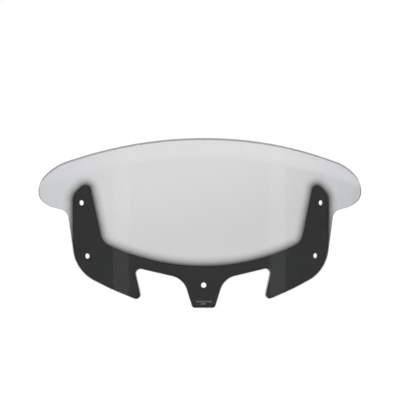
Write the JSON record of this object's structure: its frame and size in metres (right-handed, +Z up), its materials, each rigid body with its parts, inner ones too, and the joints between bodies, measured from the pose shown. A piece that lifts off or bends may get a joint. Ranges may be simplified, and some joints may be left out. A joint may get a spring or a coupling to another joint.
{
  "type": "motorcycle windscreen",
  "caption": "Clear-tinted wrap-round fairing windscreen with flared wings, a forward lip, a centre tab, vent notches and a blackout print.",
  "frame": {"origin": "centre of the centre tab's screw hole, on the front face", "axes": "+X across the screen to the viewer's right when seen from the front, +Y to the rear towards the rider, +Z up the screen; the front face looks towards -Y"},
  "size_m": [0.594, 0.0963, 0.3073],
  "materials": {
    "tinted_polycarbonate": "polished hard-coated polycarbonate, light neutral smoke tint",
    "blackout_ink": "screen-printed black, glossy through the sheet and satin from behind",
    "faded_ink": "fine halftone fade of the same black ink",
    "mark_ink": "pale printed ink"
  },
  "bodies": {
    "root": {"screen_sheet": "tinted_polycarbonate", "blackout_band": "blackout_ink", "blackout_fade": "faded_ink", "mark_bar_upper": "mark_ink", "mark_bar_lower": "mark_ink"}
  },
  "joints": []
}
